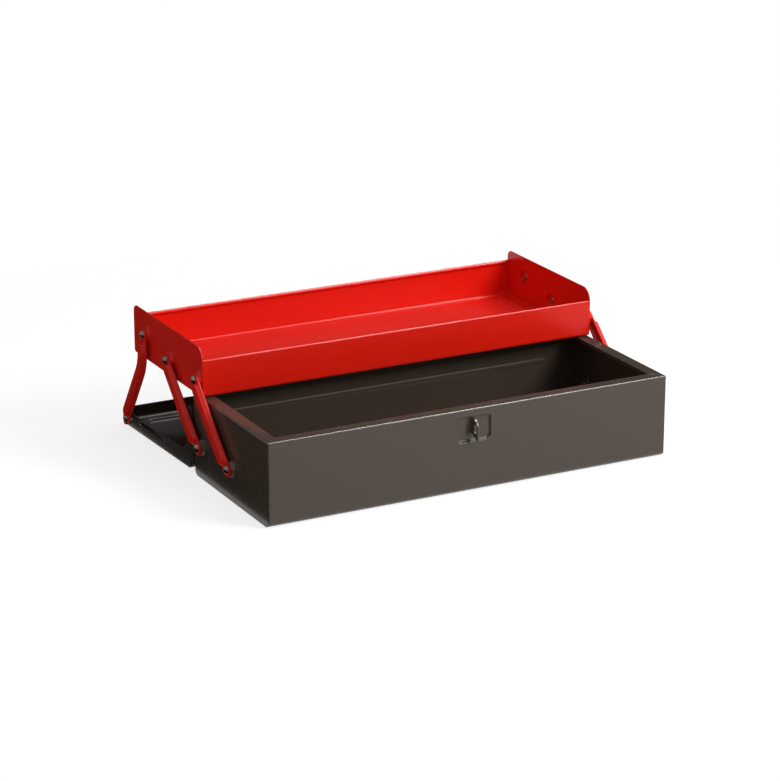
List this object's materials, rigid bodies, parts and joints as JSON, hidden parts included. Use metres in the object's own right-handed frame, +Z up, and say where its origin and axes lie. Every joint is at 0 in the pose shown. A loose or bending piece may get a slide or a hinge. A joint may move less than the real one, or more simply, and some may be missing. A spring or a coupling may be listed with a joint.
{
  "type": "cantilever tool box",
  "caption": "Folded sheet-steel tool box whose tray swings up and back over the laid-open lid on parallel arms, with a folding handle and a hasp.",
  "frame": {"origin": "centre of the underside of the case", "axes": "+X along the length to the right, +Y to the rear, where the lid lies open, +Z up"},
  "size_m": [0.429, 0.4137, 0.1275],
  "materials": {
    "dark_paint": "semi-gloss dark brown-grey enamel",
    "red_paint": "glossy red enamel",
    "zinc": "bright zinc plate"
  },
  "bodies": {
    "case": {"case_shell": "dark_paint", "case_end_left": "dark_paint", "case_end_right": "dark_paint", "case_hinge_leaf": "dark_paint", "hinge_pin": "zinc", "padlock_staple": "dark_paint", "case_arm_rivets": "zinc"},
    "front_arms": {"front_arm_left": "red_paint", "front_arm_right": "red_paint"},
    "rear_arms": {"rear_arm_left": "red_paint", "rear_arm_right": "red_paint"},
    "tray": {"tray_pan": "red_paint", "tray_end_left": "red_paint", "tray_end_right": "red_paint", "tray_arm_rivets": "zinc"},
    "lid": {"lid_pan": "dark_paint", "lid_hinge_leaf": "dark_paint", "handle_bracket_left": "zinc", "handle_bracket_right": "zinc", "handle_rivets": "zinc", "hasp_leaf": "zinc", "hasp_rivets": "zinc", "hasp_pin": "zinc"},
    "lid_arms": {"lid_arm_left": "red_paint", "lid_arm_right": "red_paint", "lid_arm_rivets": "zinc"},
    "hasp": {"hasp_strap": "zinc"},
    "handle": {"handle_bail": "zinc"}
  },
  "joints": [
    {"name": "fold", "type": "hinge", "parent": "case", "child": "front_arms", "pos_m": [0, -0.002, 0.0315], "axis": [1, 0, 0], "range_deg": [0, 93.5]},
    {"name": "rear_arms", "type": "hinge", "parent": "case", "child": "rear_arms", "pos_m": [0, 0.063, 0.0315], "axis": [1, 0, 0], "range_deg": [0, 93.5]},
    {"name": "tray", "type": "hinge", "parent": "front_arms", "child": "tray", "pos_m": [0, 0.06719, 0.09659], "axis": [1, 0, 0], "range_deg": [-93.5, 0]},
    {"name": "lid", "type": "hinge", "parent": "case", "child": "lid", "pos_m": [0, 0.083, 0.068], "axis": [1, 0, 0], "range_deg": [0, 181.44]},
    {"name": "lid_arms", "type": "hinge", "parent": "tray", "child": "lid_arms", "pos_m": [0, 0.18589, 0.1068], "axis": [1, 0, 0], "range_deg": [0, 235.81]},
    {"name": "hasp", "type": "hinge", "parent": "lid", "child": "hasp", "pos_m": [0, 0.24949, 0.01379], "axis": [1, 0, 0], "range_deg": [-80, 98]},
    {"name": "handle", "type": "hinge", "parent": "lid", "child": "handle", "pos_m": [0, 0.18046, 0.00553], "axis": [1, 0, 0], "range_deg": [0, 95]}
  ],
  "couplings": [
    {"joint": "rear_arms", "follows": "fold", "ratio": 1},
    {"joint": "tray", "follows": "fold", "ratio": -1},
    {"joint": "lid", "follows": "fold", "ratio": 1.6412},
    {"joint": "lid_arms", "follows": "fold", "ratio": 2.0927}
  ]
}
